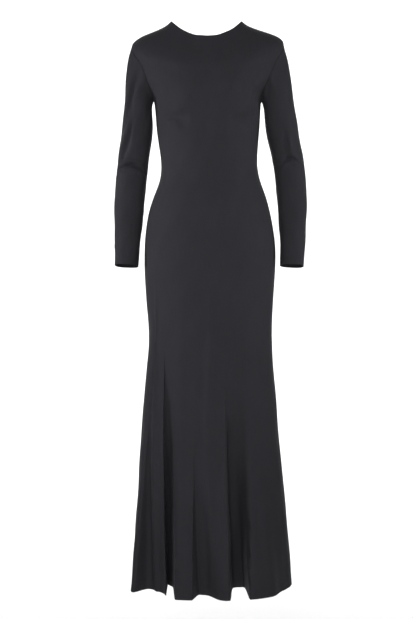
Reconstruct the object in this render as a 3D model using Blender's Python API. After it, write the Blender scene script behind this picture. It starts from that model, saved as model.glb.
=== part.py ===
"""A long-sleeved maxi dress of plain jersey, hollow and filled out as it is when worn.

Four cut pieces, each a thin wall of cloth: a front and a back from neckline to hem, and two sleeves. The body follows
rings of a soft oval, given by a table of sections, and the flared hem hangs in deep upright folds, given by a table of
folds. The origin is between the shoulders, where the wearer carries the dress. X runs to the wearer's left, Y to the
back and Z up. Every size is in metres, and every table angle in degrees round the body from the wearer's left, through
the back at 90 and the front at 270.
"""

import math
from collections import namedtuple

import bmesh
import bpy
import numpy as np

# Cloth
CLOTH = 0.0015
HEM_CLOTH = 0.0024
HEM_TURN = 0.015
CUFF_TURN = 0.014
SEAM_GAP = 0.0004
TURN_STEP = 0.001

# Levels of the side and shoulder line
HEM = -1.434
KNEE = -0.800
ARMPIT = -0.180
SHOULDER_TIP = -0.033
NECK = 0.029

# Armhole: how far its edge reaches to the front and to the back of the side line
ARMHOLE_FRONT = 0.047
ARMHOLE_BACK = 0.050

# Bust fullness, shared between two soft rounds with the cloth carried across between them
BUST_LEVEL = -0.190
BUST_APART = 0.078
BUST_FULL = 0.013
BUST_WIDTH = 0.056
BUST_HEIGHT = 0.050

# How many pieces each wall is divided into
COLUMNS = 40
SKIRT_ROWS = 7
BODY_ROWS = 14
ARMHOLE_ROWS = 9
YOKE_ROWS = 5
TURN_LENGTH = 0.014
CAP_ROWS = 6
SLEEVE_ROWS = 9

# One row for each ring of the body. Level is the height at the side or shoulder line; the front and the back of a ring
# lie lower than that by their drops. Squareness is 2 for an ellipse and more for a boxier oval.
Section = namedtuple("Section", "name level centre half_width front back squareness front_drop back_drop")
SECTIONS = (
    Section("hem", HEM, 0.0156, 0.2074, 0.163, 0.168, 2.30, 0, 0),
    Section("calf", -1.208, 0.0125, 0.1915, 0.136, 0.143, 2.25, 0, 0),
    Section("under_knee", -1.050, 0.0092, 0.1790, 0.119, 0.126, 2.20, 0, 0),
    Section("over_knee", -0.920, 0.0090, 0.1690, 0.107, 0.114, 2.20, 0, 0),
    Section("thigh", -0.800, 0.0100, 0.1600, 0.101, 0.111, 2.20, 0, 0),
    Section("full_thigh", -0.683, 0.0085, 0.1655, 0.101, 0.118, 2.20, 0, 0),
    Section("hip", -0.592, 0.0090, 0.1702, 0.101, 0.127, 2.20, 0, 0),
    Section("high_hip", -0.502, 0.0080, 0.1637, 0.100, 0.122, 2.20, 0, 0),
    Section("belly", -0.424, 0.0088, 0.1440, 0.096, 0.102, 2.20, 0, 0),
    Section("under_waist", -0.384, 0.0086, 0.1302, 0.090, 0.083, 2.20, 0, 0),
    Section("waist", -0.342, 0.0070, 0.1248, 0.085, 0.070, 2.25, 0, 0),
    Section("ribs", -0.262, 0.0042, 0.1325, 0.092, 0.079, 2.30, 0, 0),
    Section("bust", -0.205, 0.0036, 0.1366, 0.100, 0.088, 2.35, 0, 0),
    Section("underarm", ARMPIT, 0.0028, 0.1400, 0.101, 0.091, 2.35, 0.001, 0.001),
    Section("chest", -0.138, 0.0026, 0.1590, 0.100, 0.095, 2.35, 0.010, 0.008),
    Section("upper_chest", -0.082, 0.0026, 0.1830, 0.096, 0.095, 2.30, 0.033, 0.030),
    Section("shoulder_tip", SHOULDER_TIP, 0.0042, 0.1966, 0.090, 0.091, 2.30, 0.058, 0.053),
    Section("outer_shoulder", -0.0235, 0.0068, 0.1912, 0.087, 0.089, 2.30, 0.060, 0.052),
    Section("mid_shoulder", -0.0105, 0.0078, 0.1730, 0.081, 0.086, 2.30, 0.060, 0.046),
    Section("inner_shoulder", 0.0035, 0.0050, 0.1370, 0.072, 0.077, 2.30, 0.056, 0.037),
    Section("neck_base", 0.0160, 0.0010, 0.1080, 0.064, 0.067, 2.30, 0.052, 0.031),
    Section("neck", NECK, 0, 0.0920, 0.058, 0.060, 2.30, 0.0505, 0.030),
)

# One row for each upright fold of the skirt. Hem and start angle say where it lies at the hem and where it begins,
# start is the level there, aim is the way the cloth is pushed, and depth is how far at the hem. Before and after are
# half widths towards smaller and larger angles, and edge is 2 for a soft fold and more for one with a flat floor.
Fold = namedtuple("Fold", "name hem_angle start_angle start aim depth before after edge")
FOLDS = (
    Fold("right_corner", 198, 197, -0.90, 236, 0.016, 0.036, 0.030, 2.2),
    Fold("front_right", 235, 214, -0.83, 86, 0.128, 0.020, 0.010, 2.2),
    Fold("front_middle", 256, 253, -1.12, 80, 0.080, 0.012, 0.038, 2.1),
    Fold("front_left", 298, 296, -0.85, 93, 0.125, 0.035, 0.015, 4.0),
    Fold("left_corner", 335, 335, -0.90, 100, 0.024, 0.033, 0.070, 2.6),
    Fold("back_left_side", 27, 27, -0.92, 205, 0.055, 0.024, 0.026, 2.4),
    Fold("back_left", 61, 64, -0.86, 250, 0.105, 0.023, 0.025, 3.0),
    Fold("back_middle", 92, 91, -0.98, 272, 0.080, 0.024, 0.022, 2.6),
    Fold("back_right", 122, 118, -0.84, 288, 0.110, 0.024, 0.022, 3.0),
    Fold("back_right_side", 154, 153, -0.95, 330, 0.058, 0.026, 0.024, 2.4),
)
FOLD_GROWTH = 1.35
FOLD_TOP_WIDTH = 0.62

# One row for each ring of a sleeve: how far its middle lies out from the middle of the dress and to the back, and its
# half sizes across and from front to back.
Ring = namedtuple("Ring", "level out back half_width half_depth")
RIGHT_SLEEVE = (
    Ring(-0.245, 0.1797, 0.010, 0.0395, 0.0475),
    Ring(-0.296, 0.1860, 0.013, 0.0400, 0.0455),
    Ring(-0.347, 0.1927, 0.015, 0.0395, 0.0440),
    Ring(-0.399, 0.1978, 0.013, 0.0396, 0.0425),
    Ring(-0.450, 0.2013, 0.008, 0.0386, 0.0405),
    Ring(-0.502, 0.2036, 0.003, 0.0362, 0.0375),
    Ring(-0.553, 0.2052, -0.002, 0.0326, 0.0345),
    Ring(-0.607, 0.2074, -0.008, 0.0306, 0.0330),
)
LEFT_SLEEVE = (
    Ring(-0.245, 0.1955, 0.010, 0.0405, 0.0475),
    Ring(-0.296, 0.2055, 0.013, 0.0395, 0.0455),
    Ring(-0.347, 0.2158, 0.015, 0.0392, 0.0440),
    Ring(-0.399, 0.2208, 0.013, 0.0394, 0.0425),
    Ring(-0.450, 0.2234, 0.008, 0.0379, 0.0405),
    Ring(-0.502, 0.2239, 0.003, 0.0352, 0.0375),
    Ring(-0.553, 0.2236, -0.002, 0.0324, 0.0345),
    Ring(-0.607, 0.2214, -0.008, 0.0306, 0.0330),
)

# The way the sleeve leaves the armhole, outwards and upwards, at the armpit, at mid height and at the shoulder
LEAVE_ARMPIT = (0.55, -1.00)
LEAVE_MIDDLE = (1.00, -0.30)
LEAVE_SHOULDER = (0.16, -1.00)
LEAVE_PULL = 0.75

JERSEY = (0.026, 0.026, 0.030, 1.0)
JERSEY_ROUGHNESS = 0.78


def spline(knots, values, at):
    """A smooth curve through the values at rising knots (a natural cubic spline), read at other places."""
    knots = np.asarray(knots, float)
    values = np.asarray(values, float)
    at = np.clip(np.asarray(at, float), knots[0], knots[-1])
    step = np.diff(knots)
    slope = np.diff(values) / step
    count = len(knots)
    matrix = np.eye(count)
    right = np.zeros(count)
    for i in range(1, count - 1):
        matrix[i, i - 1:i + 2] = step[i - 1], 2 * (step[i - 1] + step[i]), step[i]
        right[i] = 6 * (slope[i] - slope[i - 1])
    bend = np.linalg.solve(matrix, right)
    i = np.clip(np.searchsorted(knots, at) - 1, 0, count - 2)
    low = at - knots[i]
    high = knots[i + 1] - at
    width = step[i]
    curved = (bend[i] * high**3 + bend[i + 1] * low**3) / (6 * width)
    from_low = (values[i] / width - bend[i] * width / 6) * high
    from_high = (values[i + 1] / width - bend[i + 1] * width / 6) * low
    return curved + from_low + from_high


def section(column, level):
    """One column of the section table at any level."""
    return spline([row.level for row in SECTIONS], [getattr(row, column) for row in SECTIONS], level)


def oval_radius(angle, half_width, front, back, squareness):
    """Distance from the middle of a ring to its line, in the direction of the angle."""
    deep = np.where(np.sin(angle) < 0, front, back)
    across = (np.abs(np.cos(angle)) / half_width) ** squareness
    along = (np.abs(np.sin(angle)) / deep) ** squareness
    return (across + along) ** (-1 / squareness)


def turned(angle, other):
    """Signed angle from the other to this one, between minus and plus half a turn."""
    return (angle - other + math.pi) % (2 * math.pi) - math.pi


def fold_share(level, start):
    """How far a fold has grown at a level: 0 where it starts and 1 at the hem."""
    return np.clip((start - level) / (start - HEM), 0, 1)


def drifted(angle, level):
    """Where a thread that meets the hem at this angle lies at a higher level: folds lean a little on their way up."""
    knots = [0.0]
    shifts = [0.0]
    for fold in sorted(FOLDS, key=lambda row: row.hem_angle):
        reach = (KNEE - HEM) / (fold.start - HEM)
        knots.append(math.radians(fold.hem_angle))
        shifts.append(math.radians(fold.start_angle - fold.hem_angle) * reach)
        if fold.hem_angle < 180 < next_fold_angle(fold):
            knots.append(math.pi)
            shifts.append(0.0)
    knots.append(2 * math.pi)
    shifts.append(0.0)
    up = np.clip((level - HEM) / (KNEE - HEM), 0, 1)
    fade = 1 - np.clip((level - KNEE) / (ARMPIT - KNEE), 0, 1)
    return angle + np.interp(angle, knots, shifts) * up * fade


def next_fold_angle(fold):
    """Hem angle of the fold that follows round the skirt, or a full turn after the last."""
    return min([row.hem_angle for row in FOLDS if row.hem_angle > fold.hem_angle] + [360])


def body_point(hem_angle, level):
    """Points of the outer face of the dress, for arrays of angles at the hem and levels of the side line."""
    angle = drifted(hem_angle, level)
    half_width = section("half_width", level)
    front = section("front", level)
    back = section("back", level)
    radius = oval_radius(angle, half_width, front, back, section("squareness", level))
    across = radius * np.cos(angle)
    along = radius * np.sin(angle)
    deep = np.where(along < 0, front, back)
    drop = np.where(along < 0, section("front_drop", level), section("back_drop", level))
    height = level - drop * (along / deep) ** 2
    for side in (-1, 1):
        aside = (across - side * BUST_APART) / BUST_WIDTH
        above = (height - BUST_LEVEL) / BUST_HEIGHT
        along = along - BUST_FULL * np.exp(-(aside**2) - above**2) * (np.sin(angle) < 0) * np.sin(angle) ** 2
    across = across + section("centre", level)
    for fold in FOLDS:
        centre = math.radians(fold.hem_angle)
        share = fold_share(level, fold.start)
        away = turned(hem_angle, centre) * oval_radius(centre, half_width, front, back, 2)
        width = np.where(away < 0, fold.before, fold.after) * (FOLD_TOP_WIDTH + (1 - FOLD_TOP_WIDTH) * share)
        shape = np.exp(-np.abs(away / width) ** fold.edge)
        push = fold.depth * share**FOLD_GROWTH * shape
        across = across + push * math.cos(math.radians(fold.aim))
        along = along + push * math.sin(math.radians(fold.aim))
    return np.stack([across, along, height], axis=-1)


def unit(vectors):
    """The same directions at length one."""
    return vectors / np.linalg.norm(vectors, axis=-1, keepdims=True)


def body_normal(hem_angle, level):
    """Outward directions of the outer face, from its slopes round and up the body."""
    turn = 0.002
    rise = 0.0005
    round_body = body_point(hem_angle + turn, level) - body_point(hem_angle - turn, level)
    upwards = body_point(hem_angle, level + rise) - body_point(hem_angle, level - rise)
    return unit(np.cross(round_body, upwards))


def armhole_turns():
    """Angles round the armhole from the armpit, at 0, to the shoulder tip, at half a turn, and the levels there."""
    turns = np.linspace(0, math.pi, ARMHOLE_ROWS + 1)
    levels = ARMPIT + (SHOULDER_TIP - ARMPIT) * (1 - np.cos(turns)) / 2
    return turns, levels


def armhole_angle(level, reach):
    """How far round from the side line the armhole's edge lies at a level, for its reach to the front or back."""
    middle = (ARMPIT + SHOULDER_TIP) / 2
    half = (SHOULDER_TIP - ARMPIT) / 2
    open_here = np.sqrt(np.clip(1 - ((level - middle) / half) ** 2, 0, 1))
    along = reach * open_here
    deep = section("front" if reach == ARMHOLE_FRONT else "back", level)
    squareness = section("squareness", level)
    across = section("half_width", level) * (1 - (along / deep) ** squareness) ** (1 / squareness)
    return np.arctan2(along, across)


def hem_columns(first, last):
    """Angles of a panel's columns, from one side seam to the other: close where the hem's line is long or turns."""
    fine = np.linspace(first, last, 1500)
    line = body_point(fine, np.full(fine.shape, HEM))[:, :2]
    steps = np.diff(line, axis=0)
    heading = np.unwrap(np.arctan2(steps[:, 1], steps[:, 0]))
    turning = np.abs(np.diff(heading, prepend=heading[0]))
    measure = np.linalg.norm(steps, axis=1) + TURN_LENGTH * turning
    along = np.concatenate([[0], np.cumsum(measure)])
    return np.interp(np.linspace(0, along[-1], COLUMNS + 1), along, fine)


def panel_levels():
    """Levels of a panel's rows, from the hem to the neckline."""
    turn = HEM + HEM_TURN
    skirt = np.linspace(turn + TURN_STEP, KNEE, SKIRT_ROWS + 1)
    body = np.linspace(KNEE, ARMPIT, BODY_ROWS + 1)[1:]
    armhole = armhole_turns()[1][1:]
    yoke = np.linspace(SHOULDER_TIP, NECK, YOKE_ROWS + 1)[1:]
    return np.concatenate([[HEM, turn], skirt, body, armhole, yoke])


def panel(name, first, reach):
    """The front or back: the half of the body from one side seam round to the other."""
    levels = panel_levels()
    share = (hem_columns(first, first + math.pi) - first) / math.pi
    rows = []
    normals = []
    for level in levels:
        inset = SEAM_GAP / 2 / section("half_width", level)
        inset = max(float(inset), float(armhole_angle(level, reach)))
        angles = first + share * math.pi + inset * (1 - 2 * share) * np.abs(1 - 2 * share)
        here = np.full(angles.shape, level)
        rows.append(body_point(angles, here))
        normals.append(body_normal(angles, here))
    thickness = np.where(levels <= HEM + HEM_TURN + TURN_STEP / 2, HEM_CLOTH, CLOTH)
    return wall(name, np.array(rows), np.array(normals), thickness, False)


def armhole_loop(side):
    """The armhole's edge from the shoulder tip down the front to the armpit and up the back.

    It comes with the body's outward directions there, and with the angles round the armhole.
    """
    turns, levels = armhole_turns()
    side_line = 0.0 if side > 0 else math.pi
    towards_front = -1.0 if side > 0 else 1.0
    front = side_line + towards_front * armhole_angle(levels, ARMHOLE_FRONT)
    back = side_line - towards_front * armhole_angle(levels, ARMHOLE_BACK)
    angles = np.concatenate([front[::-1], back[1:-1]])
    levels = np.concatenate([levels[::-1], levels[1:-1]])
    return body_point(angles, levels), body_normal(angles, levels), np.concatenate([turns[::-1], turns[1:-1]])


def sleeve_ring(side, table, level, clock):
    """Points of a sleeve's ring at a level. Clock is the angle from its outer side, through the front."""
    knots = [row.level for row in reversed(table)]

    def column(name, at):
        return spline(knots, [getattr(row, name) for row in reversed(table)], at)

    step = 0.002
    high = min(level + step, knots[-1])
    low = max(level - step, knots[0])
    lean_out = (column("out", high) - column("out", low)) / (high - low)
    lean_back = (column("back", high) - column("back", low)) / (high - low)
    out = column("half_width", level) * np.cos(clock)
    front = column("half_depth", level) * np.sin(clock)
    x = side * (column("out", level) + out)
    y = column("back", level) - front
    z = level - lean_out * out + lean_back * front
    return np.stack([x, y, z], axis=-1)


def leaving(turn, side):
    """Direction in which the sleeve leaves the armhole, for angles round it from the armpit to the shoulder."""
    share = (turn / math.pi)[:, None]
    way = (
        (1 - share) ** 2 * np.array(LEAVE_ARMPIT)
        + 2 * share * (1 - share) * np.array(LEAVE_MIDDLE)
        + share**2 * np.array(LEAVE_SHOULDER)
    )
    return unit(np.stack([side * way[:, 0], np.zeros(len(turn)), way[:, 1]], axis=-1))


def sleeve(name, side, table):
    """A sleeve: a cap that leaves the armhole and turns down, then a tube through the rings of its table."""
    loop, body_face, turns = armhole_loop(side)
    count = len(loop)
    clock = np.arange(count) * 2 * math.pi / count
    way = leaving(turns, side)
    shoulder_share = (turns / math.pi)[:, None]
    start = loop + SEAM_GAP * unit(way + (1 - shoulder_share) * body_face)
    top = table[0].level
    end = sleeve_ring(side, table, top, clock)
    below = sleeve_ring(side, table, top - 0.01, clock)
    down = unit(below - end)
    reach = np.linalg.norm(end - start, axis=-1, keepdims=True)
    rows = []
    for share in np.linspace(0, 1, CAP_ROWS + 1)[:-1]:
        leave = (share**3 - 2 * share**2 + share) * LEAVE_PULL * reach * way
        arrive = (share**3 - share**2) * reach * down
        far = 3 * share**2 - 2 * share**3
        rows.append((1 - far) * start + far * end + leave + arrive)
    cuff = table[-1].level
    levels = np.concatenate([np.linspace(top, cuff + CUFF_TURN + TURN_STEP, SLEEVE_ROWS), [cuff + CUFF_TURN, cuff]])
    rows += [sleeve_ring(side, table, level, clock) for level in levels]
    rows = np.array(rows)[::-1]
    if side > 0:
        rows = rows[:, ::-1]
        body_face = body_face[::-1]
        shoulder_share = shoulder_share[::-1]
    normals = tube_normals(rows)
    normals[-1] = unit(shoulder_share * body_face + (1 - shoulder_share) * normals[-1])
    thickness = np.full(len(rows), CLOTH)
    thickness[:2] = HEM_CLOTH
    return wall(name, rows, normals, thickness, True)


def tube_normals(rows):
    """Outward directions of a tube's points, from its neighbours round and along it."""
    round_tube = np.roll(rows, -1, axis=1) - np.roll(rows, 1, axis=1)
    along_tube = np.gradient(rows, axis=0)
    return unit(np.cross(round_tube, along_tube))


def wall(name, outer, normals, thickness, closed):
    """A closed wall of cloth: an outer skin through the points, an inner skin inside it, and the cut edges."""
    inner = outer - thickness[:, None, None] * normals
    rows, columns = outer.shape[:2]
    mesh = bmesh.new()
    outside = [[mesh.verts.new(point) for point in row] for row in outer]
    inside = [[mesh.verts.new(point) for point in row] for row in inner]
    last = columns if closed else columns - 1
    for row in range(rows - 1):
        for column in range(last):
            beside = (column + 1) % columns
            for skin in (outside, inside):
                mesh.faces.new((skin[row][column], skin[row][beside], skin[row + 1][beside], skin[row + 1][column]))
    for column in range(last):
        beside = (column + 1) % columns
        for row in (0, rows - 1):
            mesh.faces.new((outside[row][column], outside[row][beside], inside[row][beside], inside[row][column]))
    if not closed:
        for row in range(rows - 1):
            for column in (0, columns - 1):
                edge = outside[row][column], outside[row + 1][column], inside[row + 1][column], inside[row][column]
                mesh.faces.new(edge)
    bmesh.ops.recalc_face_normals(mesh, faces=mesh.faces)
    bmesh.ops.triangulate(mesh, faces=mesh.faces, quad_method="SHORT_EDGE")
    return cloth_object(name, mesh)


def cloth_object(name, shape):
    """A named object of the jersey, shaded smooth but for its cut edges."""
    mesh = bpy.data.meshes.new(name)
    shape.to_mesh(mesh)
    shape.free()
    mesh.shade_smooth()
    mesh.set_sharp_from_angle(angle=math.radians(50))
    mesh.materials.append(jersey(name))
    obj = bpy.data.objects.new(name, mesh)
    bpy.context.scene.collection.objects.link(obj)
    return obj


def jersey(name):
    """Soft black jersey with a dull face."""
    material = bpy.data.materials.new(name + "_jersey")
    material.use_nodes = True
    shader = material.node_tree.nodes["Principled BSDF"]
    shader.inputs["Base Color"].default_value = JERSEY
    shader.inputs["Roughness"].default_value = JERSEY_ROUGHNESS
    shader.inputs["Metallic"].default_value = 0.0
    return material


def main():
    for obj in list(bpy.data.objects):
        bpy.data.objects.remove(obj)
    panel("front", math.pi, ARMHOLE_FRONT)
    panel("back", 0.0, ARMHOLE_BACK)
    sleeve("sleeve_right", -1, RIGHT_SLEEVE)
    sleeve("sleeve_left", 1, LEFT_SLEEVE)


main()
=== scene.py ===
import math
from collections import namedtuple

import bpy
import numpy as np
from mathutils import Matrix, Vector


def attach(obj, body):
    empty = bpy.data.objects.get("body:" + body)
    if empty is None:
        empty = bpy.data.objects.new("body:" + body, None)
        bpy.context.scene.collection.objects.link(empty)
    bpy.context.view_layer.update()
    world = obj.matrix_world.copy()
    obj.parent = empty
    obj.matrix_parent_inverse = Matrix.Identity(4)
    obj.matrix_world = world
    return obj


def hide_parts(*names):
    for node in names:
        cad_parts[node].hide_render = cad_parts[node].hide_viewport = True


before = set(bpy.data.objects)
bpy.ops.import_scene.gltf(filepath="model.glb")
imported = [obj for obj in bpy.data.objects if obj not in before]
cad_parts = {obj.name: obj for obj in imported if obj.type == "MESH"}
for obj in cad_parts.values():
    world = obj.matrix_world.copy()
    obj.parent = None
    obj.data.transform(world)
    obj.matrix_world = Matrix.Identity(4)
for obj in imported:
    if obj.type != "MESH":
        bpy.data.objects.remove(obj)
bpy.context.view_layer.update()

# A long-sleeved maxi dress of black jersey. The solids' four pieces are made again here as fine shells with
# their creases, seams, turned edges and stitching. X runs to the wearer's left, Y to the back and Z up, in
# metres. Angles go round the body in degrees from the wearer's left, through the back at 90 and the front
# at 270. A level is a height on the side line, which follows the shoulder seam from the shoulder's tip to
# the neck. Above the armpits the front and back of a section lie lower than its level.

# Cloth and its turned edges
CLOTH = 0.0013
TURNED_CLOTH = 0.0021
HEM_TURN = 0.0185
CUFF_TURN = 0.0150
NECK_TURN = 0.0080

# Seams: creases fade out within the hold, and the cloth beside an armhole is full within the reach
SEAM_GAP = 0.0002
SEAM_HOLD = 0.012
SEAM_FULLNESS = 0.0050
SEAM_REACH = 0.020

# Allowances of the side seams: half their width in radians round the body, and their depth inside it
ALLOWANCE_TURN = 0.035
ALLOWANCE_DEPTH = 0.0034
ALLOWANCE_CLOTH = 0.0012
ALLOWANCE_END = 0.006
ALLOWANCE_COLUMNS = 9

# Grooves that the seams, the rows of stitches and the neck's fold press into the cloth
Groove = namedtuple("Groove", "half_width depth")
SEAM_GROOVE = Groove(0.0028, 0.0003)
HEM_GROOVE = Groove(0.0011, 0.00045)
CUFF_GROOVE = Groove(0.0010, 0.00045)
NECK_GROOVE = Groove(0.0012, 0.0005)
NECK_FOLD = Groove(0.0010, 0.0006)

# Rows of stitches at the hem and the cuffs: how far they lie over the edge of the turned cloth
HEM_STITCHES = (-0.0015, 0.0015)
CUFF_STITCHES = (-0.0013, 0.0013)

# One stitch: at shares of its length, its size and its rise over the cloth as shares of the thread's radius
STITCH_LENGTH = 0.0026
STITCH_GAP = 0.0010
STITCH_MARGIN = 0.001
THREAD_RADIUS = 0.00022
THREAD_SIDES = 5
STITCH_PLACES = np.array([0, 0.25, 0.75, 1])
STITCH_SIZES = np.array([0.35, 1, 1, 0.35])
STITCH_RISES = np.array([-0.6, 0.5, 0.5, -0.6])

# Levels of the side and shoulder line
HEM = -1.434
THIGH = -0.800
ARMPIT = -0.180
SHOULDER_TIP = -0.033
NECK = 0.029

# How far the armhole's edge reaches to the front and back of the side line
ARMHOLE_FRONT = 0.047
ARMHOLE_BACK = 0.050

# Side lines, as angles in radians
LEFT_SIDE = 0.0
RIGHT_SIDE = math.pi

# Bust fullness
BUST_LEVEL = -0.190
BUST_APART = 0.078
BUST_FULL = 0.013
BUST_WIDTH = 0.056
BUST_HEIGHT = 0.050

# Divisions of the shells. The hem's and cuff's rows are heights over the edge, and the neck's are depths
# under it. The turn rows are those of doubled cloth. More columns lie near the seams, at these shares of
# a panel's width, and a radian of turning in the hem's line draws in as many as this many metres of it.
PANEL_COLUMNS = 190
NEAR_SEAM_COLUMNS = (0.0015, 0.0035, 0.007)
HEM_SAMPLES = 3000
TURN_IN_METRES = 0.010
HEM_ROWS = (0, 0.0008, 0.003, 0.008, 0.012, 0.0145, 0.0165, 0.0185, 0.0205, 0.0225, 0.026)
SKIRT_ROWS = 87
BODY_ROWS = 93
ARMHOLE_ROWS = 30
YOKE_ROWS = 19
NECK_ROWS = (0.001, 0.0004, 0)
NECK_TURN_ROWS = 6
SLEEVE_COLUMNS = 120
CAP_ROWS = 40
CAP_CLOSENESS = 1.15
SLEEVE_ROWS = 119
CUFF_ROWS = (0.026, 0.0185, 0.0170, 0.0155, 0.0140, 0.0125, 0.0110, 0.008, 0.003, 0.0008, 0)
CUFF_TURN_ROWS = 8

# Faces that meet at more degrees than this have a sharp edge between them
SHARP_EDGE = 60

# Small steps over which slopes are measured: round the body in radians, and up the body and the sleeves
NORMAL_TURN = 0.002
NORMAL_RISE = 0.0005
LEAN_STEP = 0.002
RING_STEP = 0.01

# Sections of the body: the level, the middle's place across, the half width, the depths to the front and
# back, how square the ring is (2 is an ellipse), and how far the front's and back's middles lie under it
Section = namedtuple("Section", "name level centre half_width front back squareness front_drop back_drop")
SECTIONS = (
    Section("hem", HEM, 0.0156, 0.2074, 0.163, 0.168, 2.30, 0, 0),
    Section("calf", -1.208, 0.0125, 0.1915, 0.136, 0.143, 2.25, 0, 0),
    Section("under_knee", -1.050, 0.0092, 0.1790, 0.119, 0.126, 2.20, 0, 0),
    Section("over_knee", -0.920, 0.0090, 0.1690, 0.107, 0.114, 2.20, 0, 0),
    Section("thigh", THIGH, 0.0100, 0.1600, 0.101, 0.111, 2.20, 0, 0),
    Section("full_thigh", -0.683, 0.0085, 0.1655, 0.101, 0.118, 2.20, 0, 0),
    Section("hip", -0.592, 0.0090, 0.1702, 0.101, 0.127, 2.20, 0, 0),
    Section("high_hip", -0.502, 0.0080, 0.1637, 0.100, 0.122, 2.20, 0, 0),
    Section("belly", -0.424, 0.0088, 0.1440, 0.096, 0.102, 2.20, 0, 0),
    Section("under_waist", -0.384, 0.0086, 0.1302, 0.090, 0.083, 2.20, 0, 0),
    Section("waist", -0.342, 0.0070, 0.1248, 0.085, 0.070, 2.25, 0, 0),
    Section("ribs", -0.262, 0.0042, 0.1325, 0.092, 0.079, 2.30, 0, 0),
    Section("bust", -0.205, 0.0036, 0.1366, 0.100, 0.088, 2.35, 0, 0),
    Section("underarm", ARMPIT, 0.0028, 0.1400, 0.101, 0.091, 2.35, 0.001, 0.001),
    Section("chest", -0.138, 0.0026, 0.1590, 0.100, 0.095, 2.35, 0.010, 0.008),
    Section("upper_chest", -0.082, 0.0026, 0.1830, 0.096, 0.095, 2.30, 0.033, 0.030),
    Section("shoulder_tip", SHOULDER_TIP, 0.0042, 0.1966, 0.090, 0.091, 2.30, 0.058, 0.053),
    Section("outer_shoulder", -0.0235, 0.0068, 0.1912, 0.087, 0.089, 2.30, 0.060, 0.052),
    Section("mid_shoulder", -0.0105, 0.0078, 0.1730, 0.081, 0.086, 2.30, 0.060, 0.046),
    Section("inner_shoulder", 0.0035, 0.0050, 0.1370, 0.072, 0.077, 2.30, 0.056, 0.037),
    Section("neck_base", 0.0160, 0.0010, 0.1080, 0.064, 0.067, 2.30, 0.052, 0.031),
    Section("neck", NECK, 0, 0.0920, 0.058, 0.060, 2.30, 0.0505, 0.030),
)

# Folds of the skirt. Each starts at a level and an angle, and its cloth is pushed in the direction of the
# aim, by the full depth at the hem angle. Before and after are its half widths towards smaller and larger
# angles, the edge says how steep its sides are, and the tops are the shares of those widths at its start.
FOLD_TOP = 0.62
FOLD_COLUMNS = "name hem_angle start_angle start aim depth before after edge top_before top_after"
Fold = namedtuple("Fold", FOLD_COLUMNS, defaults=(FOLD_TOP, FOLD_TOP))
FOLDS = (
    Fold("right_corner", 198, 197, -0.90, 236, 0.016, 0.036, 0.030, 2.2),
    Fold("right_flat", 215, 205, -0.90, 78, 0.054, 0.036, 0.050, 4.0),
    Fold("front_right", 232.6, 213.5, -0.82, 91, 0.125, 0.0098, 0.0165, 8.0, 0.35, 1.5),
    Fold("front_middle", 256.2, 252.6, -1.06, 82, 0.056, 0.0060, 0.045, 3.2, 0.40, 1.1),
    Fold("front_left", 293.8, 294, -0.83, 90.5, 0.124, 0.0235, 0.0185, 8.0, 0.12, 2.0),
    Fold("left_corner", 335, 335, -0.90, 100, 0.024, 0.033, 0.070, 2.6),
    Fold("back_left_side", 27, 27, -0.92, 205, 0.055, 0.024, 0.026, 2.4),
    Fold("back_left", 61, 64, -0.86, 250, 0.105, 0.023, 0.025, 3.0),
    Fold("back_middle", 92, 91, -0.98, 272, 0.080, 0.024, 0.022, 2.6),
    Fold("back_right", 122, 118, -0.84, 288, 0.110, 0.024, 0.022, 3.0),
    Fold("back_right_side", 154, 153, -0.95, 330, 0.058, 0.026, 0.024, 2.4),
)

# How a fold deepens towards the hem, and how its side of larger angles grows from soft to its own edge
FOLD_GROWTH = 1.6
EDGE_GROWTH = 4
SOFT_EDGE = 2

# Squareness of a plain oval
ELLIPSE = 2

# Rings of the sleeves: the level, how far out and back the middle lies, and half the width and depth
Ring = namedtuple("Ring", "level out back half_width half_depth")
RIGHT_SLEEVE = (
    Ring(-0.245, 0.1797, 0.010, 0.0395, 0.0475),
    Ring(-0.296, 0.1860, 0.013, 0.0400, 0.0455),
    Ring(-0.347, 0.1927, 0.015, 0.0395, 0.0440),
    Ring(-0.399, 0.1978, 0.013, 0.0396, 0.0425),
    Ring(-0.450, 0.2013, 0.008, 0.0386, 0.0405),
    Ring(-0.502, 0.2036, 0.003, 0.0362, 0.0375),
    Ring(-0.553, 0.2052, -0.002, 0.0326, 0.0345),
    Ring(-0.607, 0.2074, -0.008, 0.0306, 0.0330),
)
LEFT_SLEEVE = (
    Ring(-0.245, 0.1955, 0.010, 0.0405, 0.0475),
    Ring(-0.296, 0.2055, 0.013, 0.0395, 0.0455),
    Ring(-0.347, 0.2158, 0.015, 0.0392, 0.0440),
    Ring(-0.399, 0.2208, 0.013, 0.0394, 0.0425),
    Ring(-0.450, 0.2234, 0.008, 0.0379, 0.0405),
    Ring(-0.502, 0.2239, 0.003, 0.0352, 0.0375),
    Ring(-0.553, 0.2236, -0.002, 0.0324, 0.0345),
    Ring(-0.607, 0.2214, -0.008, 0.0306, 0.0330),
)
SLEEVE_SQUARENESS = 2.45

# How the sleeve's cloth leaves the armhole: out and up at the armpit, half way and at the shoulder
LEAVE_ARMPIT = (0.55, -1.00)
LEAVE_MIDDLE = (1.00, -0.30)
LEAVE_SHOULDER = (0.16, -1.00)
LEAVE_PULL = 0.75

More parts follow.
